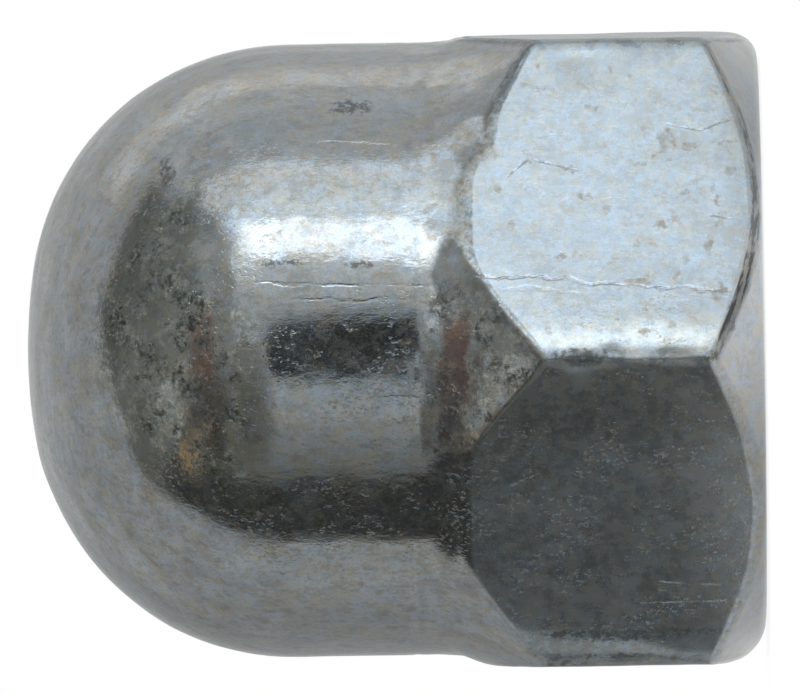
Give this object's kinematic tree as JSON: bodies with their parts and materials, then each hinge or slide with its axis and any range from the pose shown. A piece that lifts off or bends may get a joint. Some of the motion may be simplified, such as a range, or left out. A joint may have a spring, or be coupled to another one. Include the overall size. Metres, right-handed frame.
{
  "type": "cap nut",
  "caption": "Closed-end cap nut: a chamfered hexagon below a round barrel and a flattened dome, with a blind tapped hole in its bearing face.",
  "frame": {"origin": "centre of the bearing face, on the axis of the thread", "axes": "+Z along the thread's axis from the bearing face to the dome; one corner of the hexagon points along -Y, so two flats face +X and -X"},
  "size_m": [0.0128, 0.0146, 0.015],
  "materials": {
    "plated_steel": "bright plating over forged steel, satin and finely pitted, with faint brown staining"
  },
  "bodies": {
    "root": {"cap_nut": "plated_steel"}
  },
  "joints": []
}
